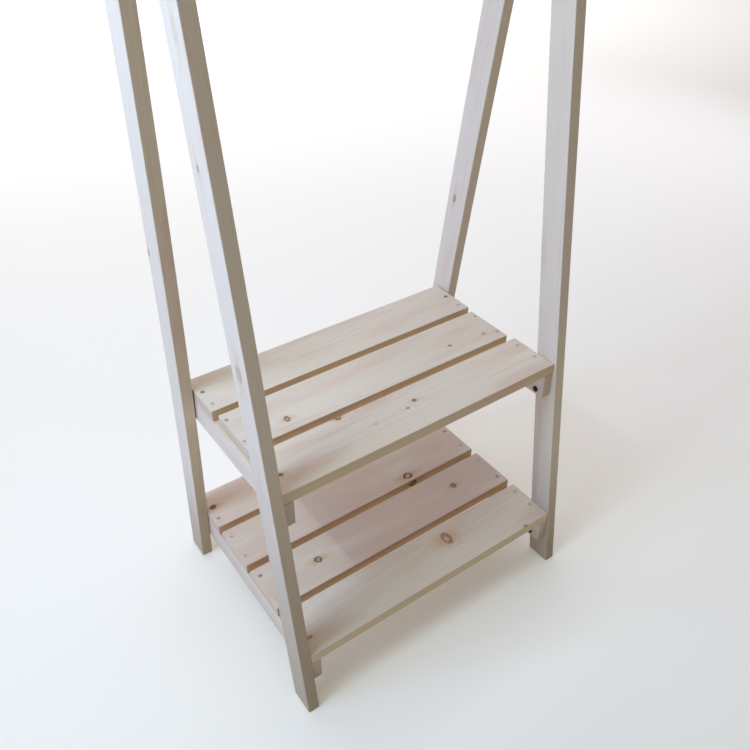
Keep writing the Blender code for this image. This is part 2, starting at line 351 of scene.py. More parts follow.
def knot_group():
    """One knot added to what came before it: how the rings bulge, and its rim, core and halo."""
    outs = {"Bulge": "Float", "Rim": "Float", "Core": "Float", "Halo": "Float"}
    sockets = {"Board": "Vector", "Centre": "Vector", "Radii": "Vector"}
    sockets.update({"Rim": "Float", "Core": "Float", "Stain": "Float"})
    sockets.update({f"{label} So Far": "Float" for label in outs})
    tree, given, result = new_tree("knot", "ShaderNodeTree", sockets, outs)
    from_centre = vector(tree, "SUBTRACT", given["Board"], given["Centre"])
    offset = vector(tree, "DIVIDE", from_centre, given["Radii"])
    ragged = maths(tree, "SUBTRACT", noise(tree, given["Board"], RAGGED_FINENESS, 2.0), 0.5)
    away = maths(tree, "MULTIPLY_ADD", ragged, RIM_RAGGED, vector(tree, "LENGTH", offset))
    rim = knot_rim(tree, given, offset, away)
    core = maths(tree, "MULTIPLY", fade(tree, away, *CORE_EDGE, 1.0, 0.0), given["Core"])
    stretched = vector(tree, "LENGTH", vector(tree, "MULTIPLY", offset, (GRAIN_STRETCH, 1.0, 1.0)))
    near = fade(tree, stretched, HALO_STARTS, HALO_REACH, 1.0, 0.0)
    halo = maths(tree, "MULTIPLY", maths(tree, "POWER", near, HALO_FALL), given["Stain"])
    push = maths(tree, "MULTIPLY", parts_of(tree, given["Radii"])["Y"], RING_BULGE)
    bulge = maths(tree, "MULTIPLY", maths(tree, "MULTIPLY", near, near), push)
    joined = {"Bulge": ("ADD", bulge), "Rim": ("MAXIMUM", rim), "Core": ("ADD", core)}
    joined["Halo"] = ("MAXIMUM", halo)
    for label, (operation, value) in joined.items():
        tree.links.new(maths(tree, operation, value, given[f"{label} So Far"]), result[label])
    return tree


KNOT = knot_group()
print("knot:", len(KNOT.nodes), "nodes")

# %% [markdown]
# ## The tones of raw pine
# Planed pine is cream with rosy clouds. Late wood is honey brown, and a knot stains the wood
# round it. End grain drinks more light than long grain, so it is darker. A board's narrow sides
# get a painted shade, darker and more golden than its planed faces. Legs and lower rails grow
# darker towards the bottom.

# %% The wood's colours
CREAM = (0.745, 0.652, 0.525, 1.0)
ROSY = (0.710, 0.560, 0.450, 1.0)
LATE_WOOD = (0.520, 0.350, 0.200, 1.0)
KNOT_RIM = (0.150, 0.052, 0.018, 1.0)
KNOT_DARK = (0.190, 0.095, 0.050, 1.0)
KNOT_HALO = (0.580, 0.340, 0.160, 1.0)
END_GRAIN = (0.520, 0.380, 0.235, 1.0)
# Painted shade: a darker, warmer tint multiplied onto every board's narrow sides.
NARROW_SIDE_SHADE = (1.0, 0.88, 0.69, 1.0)
DARKER_BELOW = (0.60, 0.56, 0.49, 1.0)
print("cream over rosy", [round(first / second, 2) for first, second in zip(CREAM[:3], ROSY[:3])])

# %% [markdown]
# The colours are laid over each other as they lie in the wood: clouds first, then the late
# lines, which stand out more near a knot, then streaks and fibres. A board's ends and narrow
# sides are told by the way they look, which its place gives.

# %% Lay the colours over each other
ROSY_FROM = 0.62
ROSY_SPAN = 0.24
WARMTH_PULL = 0.36
BOLD_BY_KNOT = 0.5
STREAKS_SHOW = (0.56, 0.80)
STREAK_SHARE = 0.30
FIBRE_RANGE = (0.25, 0.75)
FIBRE_TONES = (0.93, 1.04)
END_FACING = (0.75, 0.95)
SIDE_FACING = (0.6, 0.95)
END_SHARE = 0.55
HALO_SHARE = 0.65


def long_grain(tree, rings, halo, warmth_and_shade, contrast):
    """Cream to rosy, with late wood, thin streaks and fibres over it."""
    start = ROSY_FROM - WARMTH_PULL * warmth_and_shade
    colour = mix(tree, fade(tree, rings["Broad"], start, start + ROSY_SPAN), CREAM, ROSY)
    bold = maths(tree, "MULTIPLY_ADD", halo, BOLD_BY_KNOT, contrast)
    colour = mix(tree, maths(tree, "MULTIPLY", rings["Late"], bold, clamp=True), colour, LATE_WOOD)
    streak = fade(tree, rings["Streak"], *STREAKS_SHOW, 0.0, STREAK_SHARE)
    colour = mix(tree, streak, colour, LATE_WOOD)
    worn = fade(tree, rings["Fibre"], *FIBRE_RANGE, *FIBRE_TONES, "LINEAR")
    grey = add_node(tree, "ShaderNodeCombineColor", {0: worn, 1: worn, 2: worn}).outputs[0]
    return mix(tree, 1.0, colour, grey, "MULTIPLY")


def other_faces(tree, colour, normal, place, side_shade):
    """Darken the ends, and paint a darker, warmer shade on the narrow sides. place says which way they look."""
    grain, across = place.to_3x3().transposed()[:2]
    facing = maths(tree, "ABSOLUTE", vector(tree, "DOT_PRODUCT", normal, grain))
    ends = fade(tree, facing, *END_FACING)
    colour = mix(tree, maths(tree, "MULTIPLY", ends, END_SHARE), colour, END_GRAIN)
    # Painted shade: the narrow sides are darkened and warmed.
    narrow = maths(tree, "ABSOLUTE", vector(tree, "DOT_PRODUCT", normal, across))
    return mix(tree, fade(tree, narrow, *SIDE_FACING, 0.0, side_shade), colour, NARROW_SIDE_SHADE, "MULTIPLY")


print("clouds take", ROSY_SPAN, "of the noise to turn from cream to rosy")

# %% [markdown]
# ## A finish for each board
# Late wood is harder than early wood, so planing leaves it a little proud and a little shinier.
# The relief is far too shallow to model, so it is a Bump. The knots' groups are chained here.

# %% Relief and knots
LATE_SHINE = -0.10
FIBRE_HEIGHT = 0.8
GRAIN_STRENGTH = 0.35
GRAIN_DEPTH = 0.00012
PINE_SPECULAR = 0.35
FIBRE_SPREAD = (0.2, 0.8)
PLANED_ROUGH = (0.56, 0.68)


def add_knots(tree, board, place, knots):
    """Chain one knot group after another. Each knot's middle is given in the rack's space."""
    so_far = {"Bulge": 0.0, "Rim": 0.0, "Core": 0.0, "Halo": 0.0}
    for centre, radii, rim, core, stain in knots:
        inputs = {"Board": board, "Centre": place.inverted() @ Vector(centre), "Radii": radii}
        inputs.update({"Rim": rim, "Core": core, "Stain": stain})
        inputs.update({f"{label} So Far": value for label, value in so_far.items()})
        knot = add_node(tree, "ShaderNodeGroup", inputs, node_tree=KNOT)
        so_far = {label: knot.outputs[label] for label in so_far}
    return so_far


def planed(tree, shader, late, fibre):
    """Roughness and a shallow relief that follow the grain."""
    rough = fade(tree, fibre, *FIBRE_SPREAD, *PLANED_ROUGH, "LINEAR")
    tree.links.new(maths(tree, "MULTIPLY_ADD", late, LATE_SHINE, rough), shader.inputs["Roughness"])
    shader.inputs["Specular IOR Level"].default_value = PINE_SPECULAR
    height = maths(tree, "MULTIPLY_ADD", fibre, FIBRE_HEIGHT, late)
    inputs = {"Height": height, "Strength": GRAIN_STRENGTH, "Distance": GRAIN_DEPTH}
    bump = add_node(tree, "ShaderNodeBump", inputs)
    tree.links.new(bump.outputs["Normal"], shader.inputs["Normal"])


print("pine: relief", round(GRAIN_DEPTH * 1000, 2), "mm deep")

# %% [markdown]
# No two boards of a rack come from the same spot in the log. So every board has a pith of its
# own, its own ring width and tint, and its own knots, and one function turns them into a
# material. On the lower shelf's shaded slats the tint also carries a painted shade. The pattern
# lives in board space, which a Mapping node makes from the rack's space.

# %% The pine material
def pine(name, place, pith, ring_width, contrast, seed, warmth_and_shade=0.5, knots=(), dark_below=0.0, side_shade=1.0):
    """One board's wood. place takes board space, with the grain along X, to the rack."""
    made, tree, shader = new_material(name)
    spot = add_node(tree, "ShaderNodeTexCoord").outputs
    inputs = {"Location": place.to_translation(), "Rotation": place.to_euler(), "Vector": spot["Object"]}
    board = add_node(tree, "ShaderNodeMapping", inputs, vector_type="TEXTURE").outputs["Vector"]
    marks = add_knots(tree, board, place, knots)
    inputs = {"Board": board, "Pith": pith, "Ring Width": ring_width, "Bulge": marks["Bulge"], "Seed": seed}
    rings = add_node(tree, "ShaderNodeGroup", inputs, node_tree=RINGS).outputs
    colour = long_grain(tree, rings, marks["Halo"], warmth_and_shade, contrast)
    colour = other_faces(tree, colour, spot["Normal"], place, side_shade)
    # Darker towards the bottom, fading out at the height dark_below.
    if dark_below > 0.0:
        share = fade(tree, parts_of(tree, spot["Object"])["Z"], 0.0, dark_below, 1.0, 0.0)
        colour = mix(tree, share, colour, DARKER_BELOW, "MULTIPLY")
    if knots:
        colour = mix(tree, maths(tree, "MULTIPLY", marks["Halo"], HALO_SHARE), colour, KNOT_HALO)
        colour = mix(tree, marks["Core"], colour, KNOT_DARK)
        colour = mix(tree, marks["Rim"], colour, KNOT_RIM)
    tree.links.new(colour, shader.inputs["Base Color"])
    planed(tree, shader, rings["Late"], rings["Fibre"])
    return made


print("every board's pine uses the groups", RINGS.name, "and", KNOT.name)

# %% [markdown]
# ## Running a Geometry Nodes tree
# A tree's result has to end as a plain mesh. The helper puts the tree on a blank object, sets
# each named input by its socket's identifier, adds any finishing modifiers and keeps the
# evaluated mesh. The blank is thrown away. Holes are Boolean cuts, and weighted normals keep
# the flat faces flat in the light next to them.

# %% The tree runner
FLAT_WEIGHT = 100


def cut_with(blank, cutters):
    for cutter in cutters:
        boolean = blank.modifiers.new(cutter.name, "BOOLEAN")
        boolean.object = cutter
        boolean.solver = "EXACT"


def plain_mesh(blank, name):
    graph = bpy.context.evaluated_depsgraph_get()
    mesh = bpy.data.meshes.new_from_object(blank.evaluated_get(graph), depsgraph=graph)
    mesh.name = name
    return mesh


def grow(name, tree, values, base=None, cutters=()):
    blank = new_object(name, base or bpy.data.meshes.new(name))
    nodes = blank.modifiers.new(tree.name, "NODES")
    nodes.node_group = tree
    for item in tree.interface.items_tree:
        if item.item_type == "SOCKET" and item.in_out == "INPUT" and item.name in values:
            nodes[item.identifier] = values[item.name]
    cut_with(blank, cutters)
    if cutters:
        weighted = blank.modifiers.new("even shading", "WEIGHTED_NORMAL")
        weighted.keep_sharp = True
        weighted.weight = FLAT_WEIGHT
    mesh = plain_mesh(blank, name)
    bpy.data.objects.remove(blank, do_unlink=True)
    return mesh


print("flat faces weigh", FLAT_WEIGHT, "against the arcs beside them")

# %% [markdown]
# A finished mesh becomes a piece of the rack. It rides on the body that its frame nodes belong
# to, and it takes their place, so that they are hidden. The slot names its finish.

# %% The piece maker
def piece(name, mesh, nodes, material):
    """A finished mesh as a piece of the rack, in place of its frame nodes."""
    made = new_object(name, mesh)
    mesh.materials.clear()
    mesh.materials.append(material)
    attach(made, "root")
    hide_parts(*nodes)
    return made


print("pieces will take the place of", len(frame["nodes"]), "frame nodes")

# %% [markdown]
# ## The lathe
# Screws, bolts and the rod are all turned round an axis, so we draw half an outline and spin it
# with a Screw modifier. The outline goes from the top of the axis to its bottom. Points on the
# axis are merged, so that the ends are closed, and corners sharper than a limit stay crisp.

# %% Turn a profile
AXIS_MERGE = 0.00001
CRISP = math.radians(28)


def turned(name, points, sides, sockets=()):
    outline = bpy.data.meshes.new(name)
    edges = [(i, i + 1) for i in range(len(points) - 1)]
    outline.from_pydata([(radius, 0.0, height) for radius, height in points], edges, [])
    blank = new_object(name, outline)
    lathe = blank.modifiers.new("lathe", "SCREW")
    lathe.steps = sides
    lathe.render_steps = sides
    lathe.use_merge_vertices = True
    lathe.merge_threshold = AXIS_MERGE
    cut_with(blank, sockets)
    mesh = plain_mesh(blank, name)
    for helper in (blank, *sockets):
        bpy.data.objects.remove(helper, do_unlink=True)
    mesh.shade_smooth()
    mesh.set_sharp_from_angle(angle=CRISP)
    made = bpy.data.objects.new(name, mesh)
    made.hide_render = True
    return made


print("corners over", round(math.degrees(CRISP)), "degrees stay crisp")

# %% [markdown]
# ## A countersunk screw
# The head is a flat disc with a softened rim over a cone, and a driver's cross recess is pressed
# into it. Two tapering bars cut the recess. The screw's pocket is the same outline grown by a
# hair: it cuts the wood, so that a dark line shows round each head.

# %% Turn a slat screw
SCREW_SIDES = 32
POCKET_GAP = 0.0003
POCKET_ABOVE = 0.001
SCREW_POINT = 0.006
HEAD_FLAT = 0.72
HEAD_EASE = 0.95
HEAD_SINKS = (0.0001, 0.00022, 0.00045)
RECESS_WIDTH = 0.00095
RECESS_TOP = 1.15
RECESS_BOTTOM = 0.45
RECESS_DEPTH = 0.55
RECESS_ABOVE = 0.0004
screw_low, screw_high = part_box("screw_upper_1_left_a")
HEAD = (screw_high.x - screw_low.x) / 2
SHANK = HEAD * 0.5
CONE = HEAD * 0.65
SLAT_SCREW = screw_high.z - screw_low.z


def recess_arm(turn):
    """A tapering bar that cuts one arm of a cross recess."""
    shape = bmesh.new()
    bmesh.ops.create_cube(shape, size=1.0)
    for vert in shape.verts:
        top = vert.co.z > 0
        vert.co.x *= HEAD * RECESS_TOP if top else HEAD * RECESS_BOTTOM
        vert.co.y *= RECESS_WIDTH
        vert.co.z = RECESS_ABOVE if top else -HEAD * RECESS_DEPTH
    bmesh.ops.rotate(shape, matrix=Matrix.Rotation(turn, 3, "Z"), verts=shape.verts)
    return new_object("recess", mesh_from(shape, "recess"))


def make_screw(name, length):
    flat, ease, edge = HEAD_SINKS
    profile = [(0.0, -flat), (HEAD * HEAD_FLAT, -flat), (HEAD * HEAD_EASE, -ease), (HEAD, -edge),
               (SHANK, -CONE), (SHANK, SCREW_POINT - length), (0.0, -length)]
    return turned(name, profile, SCREW_SIDES, [recess_arm(0.0), recess_arm(math.pi / 2)])


def make_pocket(name, length):
    rim, shank = HEAD + POCKET_GAP, SHANK + POCKET_GAP
    profile = [(0.0, POCKET_ABOVE), (rim, POCKET_ABOVE), (rim, 0.0), (shank, -CONE),
               (shank, SCREW_POINT - length), (0.0, -length - POCKET_GAP)]
    return turned(name, profile, SCREW_SIDES)


slat_screw = make_screw("slat_screw", SLAT_SCREW)
slat_pocket = make_pocket("slat_pocket", SLAT_SCREW)
print("slat screw", round(HEAD * 2000, 1), "x", round(SLAT_SCREW * 1000, 1), "mm")

# %% [markdown]
# The rod's screws go in through the legs' edges, so they lean with the legs. A box round a
# leaning screw is too large, so we measure along the screw's own axis: how far its points reach
# that way, and where the middle of its head lies.

# %% Turn a rod screw
TOP_TOLERANCE = 0.00005


def along_axis(node, axis):
    """The far end of a fastener's node along an axis, and its length along it."""
    points = [vert.co for vert in frame["nodes"][node].data.vertices]
    reach = [point.dot(axis) for point in points]
    top = max(reach)
    face = [point for point, far in zip(points, reach) if top - far < TOP_TOLERANCE]
    return sum(face, Vector()) / len(face), top - min(reach)


rod_axis = Vector((0.0, -math.cos(LEAN), math.sin(LEAN)))
ROD_SCREW = along_axis("rod_screw_front_left", rod_axis)[1]
rod_screw = make_screw("rod_screw", ROD_SCREW)
rod_pocket = make_pocket("rod_pocket", ROD_SCREW)
print("rod screw", round(ROD_SCREW * 1000, 1), "mm long")

# %% [markdown]
# ## A button-head bolt
# Each rail is bolted to each leg. The head is a low dome with a hexagon socket for a key, and
# the shank is chamfered at its end. Threads are hidden in the wood, so the shank is left plain.
# The hexagon is pressed from the top of the dome, and the bore is a plain cylinder.

# %% Turn a bolt
bolt_low, bolt_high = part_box("bolt_upper_front_right")
BOLT_HEAD = (bolt_high.z - bolt_low.z) / 2
BOLT_REACH = bolt_high.x - bolt_low.x
BOLT_DOME = 0.0031
BOLT_SHANK = 0.003
BOLT_CHAMFER = 0.0006
BOLT_SIDES = 40
KEY_SIZE = 0.0040
KEY_DEPTH = 0.002
DOME_STEPS = 8
DOME_RIM = math.radians(10)


def make_bolt():
    shape = bmesh.new()
    corner = KEY_SIZE / 2 / math.cos(math.radians(30))
    bmesh.ops.create_cone(shape, cap_ends=True, segments=6, radius1=corner, radius2=corner, depth=KEY_DEPTH * 2)
    bmesh.ops.translate(shape, vec=(0, 0, BOLT_DOME), verts=shape.verts)
    hexagon = new_object("hexagon", mesh_from(shape, "hexagon"))
    profile = []
    for step in range(DOME_STEPS + 1):
        angle = math.pi / 2 - (math.pi / 2 - DOME_RIM) * step / DOME_STEPS
        profile.append((BOLT_HEAD * math.cos(angle) / math.cos(DOME_RIM), BOLT_DOME * math.sin(angle)))
    end = BOLT_DOME - BOLT_REACH
    profile += [(BOLT_HEAD, 0.0), (BOLT_SHANK, 0.0), (BOLT_SHANK, end + BOLT_CHAMFER)]
    profile += [(BOLT_SHANK - BOLT_CHAMFER, end), (0.0, end)]
    return turned("bolt", profile, BOLT_SIDES, [hexagon])


bolt = make_bolt()
bore_radius = BOLT_SHANK + POCKET_GAP
bore_end = BOLT_DOME - BOLT_REACH - POCKET_GAP
bore_profile = [(0.0, POCKET_ABOVE), (bore_radius, POCKET_ABOVE), (bore_radius, bore_end), (0.0, bore_end)]
bolt_bore = turned("bolt_bore", bore_profile, SCREW_SIDES)
print("bolt", round(BOLT_HEAD * 2000, 1), "mm head,", round(BOLT_REACH * 1000, 1), "mm long")

# %% [markdown]
# ## Driving the fasteners
# What repeats is one mesh and many places. The places are loose points that carry the way each
# head looks; the tree stands a copy on every point, gives it a random turn, as a driver leaves
# it, and makes the copies real. A second random number says how dull each one is. The same tree
# with a pocket in it makes the cutter.

# %% Turn a copy by chance
def random_number(tree, most, seed):
    inputs = {"Max": most, "Seed": seed}
    return add_node(tree, "FunctionNodeRandomValue", inputs, data_type="FLOAT").outputs[1]


def fastener_rotation(tree, given):
    """Upright along the way that the head looks, and then turned about itself."""
    looks = add_node(tree, "GeometryNodeInputNamedAttribute", {"Name": "looks"}, data_type="FLOAT_VECTOR")
    inputs = {"Vector": looks.outputs["Attribute"]}
    upright = add_node(tree, "FunctionNodeAlignRotationToVector", inputs, axis="Z").outputs[0]
    most = maths(tree, "MULTIPLY", given["Turn"], math.tau)
    inputs = {"Axis": (0.0, 0.0, 1.0), "Angle": random_number(tree, most, given["Seed"])}
    spin = add_node(tree, "FunctionNodeAxisAngleToRotation", inputs).outputs[0]
    inputs = {"Rotation": upright, "Rotate By": spin}
    return add_node(tree, "FunctionNodeRotateRotation", inputs, rotation_space="LOCAL").outputs[0]


print("a driver leaves a screw anywhere within", round(math.degrees(math.tau)), "degrees")

# %% [markdown]
# The tree itself is short: read the fastener, stand it on every place, store its dullness on the
# copy and end like every other tree.

# %% The fastener tree
def fastener_tree():
    sockets = {"Places": "Geometry", "Fastener": "Object", "Turn": "Float", "Seed": "Int",
               "Finish": "Material"}
    tree, given, result = new_tree("drive fasteners", "GeometryNodeTree", sockets, {"Geometry": "Geometry"})
    one = add_node(tree, "GeometryNodeObjectInfo", {"Object": given["Fastener"]}).outputs["Geometry"]
    inputs = {"Points": given["Places"], "Instance": one, "Rotation": fastener_rotation(tree, given)}
    placed = add_node(tree, "GeometryNodeInstanceOnPoints", inputs).outputs["Instances"]
    inputs = {"Geometry": placed, "Name": "dull", "Value": random_number(tree, 1.0, given["Seed"])}
    varied = add_node(tree, "GeometryNodeStoreNamedAttribute", inputs, data_type="FLOAT", domain="INSTANCE")
    end_tree(tree, varied.outputs["Geometry"], given["Finish"], result)
    return tree


FASTENERS = fastener_tree()
print("fastener tree:", len(FASTENERS.nodes), "nodes")

# %% [markdown]
# The frame knows where every fastener sits. A slat screw looks straight up, a rod screw looks
# out of the leg's edge, and a bolt looks towards the middle of the rack. Each place is the
# middle of the head's top, or of its underside for a bolt.

# %% Read a place off a node
UP = Vector((0.0, 0.0, 1.0))


def nodes_named(start):
    return sorted(node for node in frame["nodes"] if node.startswith(start))


def places(name, spots):
    """Loose points, each with the way that a fastener's head looks."""
    mesh = bpy.data.meshes.new(name)
    mesh.from_pydata([spot for spot, looks in spots], [], [])
    looks = mesh.attributes.new("looks", "FLOAT_VECTOR", "POINT")
    looks.data.foreach_set("vector", [part for spot, way in spots for part in way])
    return mesh


def rod_spot(node):
    outwards = -1.0 if "front" in node else 1.0
    looks = Vector((0.0, outwards * math.cos(LEAN), math.sin(LEAN)))
    return along_axis(node, looks)[0], looks


def bolt_spot(node):
    low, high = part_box(node)
    side = 1.0 if node.endswith("right") else -1.0
    head = low.x if side > 0 else high.x
    middle = Vector((head + side * BOLT_DOME, (low.y + high.y) / 2, (low.z + high.z) / 2))
    return middle, Vector((-side, 0.0, 0.0))


print("one bolt at", [round(part, 3) for part in bolt_spot("bolt_upper_front_right")[0]])

# %% [markdown]
# The lists are sorted by name, so that each fastener gets the same random turn in every run.

# %% Find every place
slat_nodes = nodes_named("screw_")
rod_screw_nodes = nodes_named("rod_screw_")
bolt_nodes = nodes_named("bolt_")
slat_spots = [(along_axis(node, UP)[0], UP) for node in slat_nodes]
rod_spots = [rod_spot(node) for node in rod_screw_nodes]
bolt_spots = [bolt_spot(node) for node in bolt_nodes]
print(len(slat_spots), "slat screws,", len(rod_spots), "rod screws,", len(bolt_spots), "bolts")

# %% [markdown]
# ## Steel
# The screws are zinc plated, and a driver and dust leave them dull and uneven. The bolts are
# black oxide, which is satin and nearly colourless. A fine cloud mottles both, and the number
# that the fastener tree stored makes one head duller than the next.

# %% The metals
STEEL_FINENESS = (420.0, 420.0, 420.0)
STEEL_RELIEF = 0.00005
STEEL_BUMP = 0.25
OWN_SHARE = 0.6
CLOUD_SHARE = 0.8
WEAR_RANGE = (0.25, 0.85)
CLOUD_RANGE = (0.3, 0.7)


def metal(name, dark, light, rough_from, rough_to, metallic):
    made, tree, shader = new_material(name)
    spot = add_node(tree, "ShaderNodeTexCoord").outputs["Object"]
    cloud = noise(tree, spot, STEEL_FINENESS, 4.0)
    own = add_node(tree, "ShaderNodeAttribute", attribute_name="dull").outputs["Fac"]
    wear = maths(tree, "MULTIPLY_ADD", own, OWN_SHARE, maths(tree, "MULTIPLY", cloud, CLOUD_SHARE))
    tree.links.new(mix(tree, fade(tree, wear, *WEAR_RANGE), dark, light), shader.inputs["Base Color"])
    rough = fade(tree, cloud, *CLOUD_RANGE, rough_from, rough_to)
    tree.links.new(rough, shader.inputs["Roughness"])
    shader.inputs["Metallic"].default_value = metallic
    inputs = {"Height": cloud, "Strength": STEEL_BUMP, "Distance": STEEL_RELIEF}
    bump = add_node(tree, "ShaderNodeBump", inputs)
    tree.links.new(bump.outputs["Normal"], shader.inputs["Normal"])
    return made


ZINC = metal("zinc_plate", (0.22, 0.18, 0.135, 1.0), (0.60, 0.53, 0.43, 1.0), 0.42, 0.60, 0.25)
BLACK = metal("black_oxide", (0.012, 0.012, 0.013, 1.0), (0.030, 0.030, 0.032, 1.0), 0.32, 0.46, 0.6)
print("two steels:", ZINC.name, "and", BLACK.name)

# %% [markdown]
# Now each kind is driven in as one piece. The cutters keep every copy unturned, because a pocket
# is round. They wait in the scene until the boards are cut, and then they are thrown away.

# %% Drive them in
DRIVER_SEED = 3


def drive(name, spots, fastener, turn=1.0, finish=None):
    values = {"Fastener": fastener, "Turn": turn, "Seed": DRIVER_SEED, "Finish": finish}
    return grow(name, FASTENERS, values, places(name, spots))


slat_cutter = new_object("slat_pockets", drive("slat_pockets", slat_spots, slat_pocket, turn=0.0))
rod_cutter = new_object("rod_pockets", drive("rod_pockets", rod_spots, rod_pocket, turn=0.0))
bolt_cutter = new_object("bolt_bores", drive("bolt_bores", bolt_spots, bolt_bore, turn=0.0))

slat_screws = drive("slat_screws", slat_spots, slat_screw, finish=ZINC)
rod_screws = drive("rod_screws", rod_spots, rod_screw, finish=ZINC)
leg_bolts = drive("leg_bolts", bolt_spots, bolt, finish=BLACK)
piece("slat_screws", slat_screws, slat_nodes, ZINC)
piece("rod_screws", rod_screws, rod_screw_nodes, ZINC)
piece("leg_bolts", leg_bolts, bolt_nodes, BLACK)
print("fasteners:", sum(len(mesh.polygons) for mesh in (slat_screws, rod_screws, leg_bolts)), "faces")

# %% [markdown]
# ## An eased board
# A planed board is a box whose edges are rounded by a millimetre or so. A Bevel would do it,
# but a rule is neater: every point of a fine box is pulled to an inner box, and then pushed out
# again by the edge's radius. Flat faces stay flat, edges become arcs and corners become parts
# of a ball. The grid's outer rows are spread so that the arcs are even.

# %% Ease a point
ONES = (1.0, 1.0, 1.0)
EDGE_ANGLE = (math.pi / 4,) * 3


def eased_point(tree, inner, edge, flat_end):
    """Where a point of a box from -1 to 1 goes. Out to flat_end it lies on a face, and beyond on an arc."""
    here = tree.nodes.new("GeometryNodeInputPosition").outputs[0]
    far = vector(tree, "ABSOLUTE", here)
    side = vector(tree, "SIGN", here)
    reached = vector(tree, "DIVIDE", vector(tree, "MINIMUM", far, flat_end), flat_end)
    flat = vector(tree, "MULTIPLY", reached, inner)
    past = vector(tree, "MAXIMUM", vector(tree, "SUBTRACT", far, flat_end), (0.0, 0.0, 0.0))
    arc_share = vector(tree, "DIVIDE", past, vector(tree, "SUBTRACT", ONES, flat_end))
    angle = vector(tree, "MULTIPLY", arc_share, EDGE_ANGLE)
    out = vector(tree, "NORMALIZE", vector(tree, "MULTIPLY", side, vector(tree, "TANGENT", angle)))
    return vector(tree, "ADD", vector(tree, "MULTIPLY", side, flat), vector(tree, "MULTIPLY", out, edge))


print("an arc turns", round(math.degrees(EDGE_ANGLE[0])), "degrees on each side of a corner")

# %% [markdown]
# The box that goes in has a few cells across its width and as many along its length as the board
# needs, so that a leg can bend. Each edge gets two more rows of cells for its arc.

# %% The board tree
ARC_STEPS = 2
CELLS_ACROSS = 3
CELLS_THICK = 1


def eased_board():
    sockets = {"Length": "Float", "Width": "Float", "Thickness": "Float", "Edge": "Float", "Steps": "Int"}
    tree, given, result = new_tree("eased board", "GeometryNodeTree", sockets, {"Geometry": "Geometry"})
    inputs = {"X": given["Steps"], "Y": CELLS_ACROSS, "Z": CELLS_THICK}
    cells = add_node(tree, "ShaderNodeCombineXYZ", inputs).outputs[0]
    rows = vector(tree, "ADD", cells, (2 * ARC_STEPS,) * 3)
    counts = parts_of(tree, vector(tree, "ADD", rows, ONES))
    inputs = {f"Vertices {axis}": counts[axis] for axis in "XYZ"}
    inputs["Size"] = (2.0, 2.0, 2.0)
    cube = add_node(tree, "GeometryNodeMeshCube", inputs).outputs["Mesh"]
    inputs = {"X": given["Length"], "Y": given["Width"], "Z": given["Thickness"]}
    size = add_node(tree, "ShaderNodeCombineXYZ", inputs).outputs[0]
    edge = add_node(tree, "ShaderNodeCombineXYZ", {axis: given["Edge"] for axis in "XYZ"}).outputs[0]
    inner = vector(tree, "SUBTRACT", vector(tree, "MULTIPLY", size, (0.5, 0.5, 0.5)), edge)
    inputs = {"Geometry": cube, "Position": eased_point(tree, inner, edge, vector(tree, "DIVIDE", cells, rows))}
    eased = add_node(tree, "GeometryNodeSetPosition", inputs).outputs["Geometry"]
    smooth = add_node(tree, "GeometryNodeSetShadeSmooth", {"Geometry": eased}).outputs["Geometry"]
    tree.links.new(smooth, result["Geometry"])
    return tree


EASED_BOARD = eased_board()
print("eased board:", len(EASED_BOARD.nodes), "nodes")

# %% [markdown]
# ## Slats and rails
# A straight board only has to be turned and moved into place, so the next tree wraps the eased
# board in a Transform. A slat's grain runs along X and a rail's along Y. The place is also what
# the material needs to know where the log's pith lay.

# %% The straight board tree
EDGE = 0.0013
STRAIGHT_STEPS = 6
ALONG_X = Matrix.Identity(3)
ALONG_Y = Matrix(((0.0, 0.0, 1.0), (1.0, 0.0, 0.0), (0.0, 1.0, 0.0)))


def straight_board():
    sizes = {"Length": "Float", "Width": "Float", "Thickness": "Float", "Edge": "Float", "Steps": "Int"}
    sockets = {**sizes, "Middle": "Vector", "Turn": "Vector", "Finish": "Material"}
    tree, given, result = new_tree("straight board", "GeometryNodeTree", sockets, {"Geometry": "Geometry"})
    inputs = {label: given[label] for label in sizes}
    board = add_node(tree, "GeometryNodeGroup", inputs, node_tree=EASED_BOARD).outputs[0]
    inputs = {"Geometry": board, "Translation": given["Middle"], "Rotation": given["Turn"]}
    moved = add_node(tree, "GeometryNodeTransform", inputs).outputs["Geometry"]
    end_tree(tree, moved, given["Finish"], result)
    return tree


STRAIGHT_BOARD = straight_board()


def board_piece(node, turn, cutters, **look):
    """A straight board in place of a frame node. turn takes board space to the rack's directions."""
    low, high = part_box(node)
    place = Matrix.Translation((low + high) / 2) @ turn.to_4x4()
    length, width, thickness = [abs(side) for side in turn.transposed() @ (high - low)]
    finish = pine(f"{node}_pine", place, **look)
    values = {"Length": length, "Width": width, "Thickness": thickness, "Edge": EDGE, "Steps": STRAIGHT_STEPS,
              "Middle": place.to_translation(), "Turn": Vector(place.to_euler()), "Finish": finish}
    mesh = grow(node, STRAIGHT_BOARD, values, cutters=cutters)
    return piece(f"{node}_board", mesh, [node], finish)


print("straight board:", len(STRAIGHT_BOARD.nodes), "nodes, edges eased by", EDGE * 1000, "mm")

# %% [markdown]
# ## Knots in their places
# A knot is told by its middle on the board's face, its radii along and across the grain, how
# dark its rim and core are, and how much it stains the wood round it. Most go straight through
# the board. One lies on its side, because its branch grew out towards the edge.

# %% Describe a knot
THROUGH = 1.0
LEG_KNOT_DEPTH = 0.030
upper_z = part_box("slat_upper_1")[1].z
lower_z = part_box("slat_lower_1")[1].z


def knot(x, y, z, along, across, rim, core, stain=None, deep=THROUGH, sideways=False):
    radii = (along, deep, across) if sideways else (along, across, deep)
    return (x, y, z), radii, rim, core, rim if stain is None else stain


def leg_knot(x, y, z, along, across, rim, core, stain=0.5):
    return (x, y, z), (along, across, LEG_KNOT_DEPTH), rim, core, stain


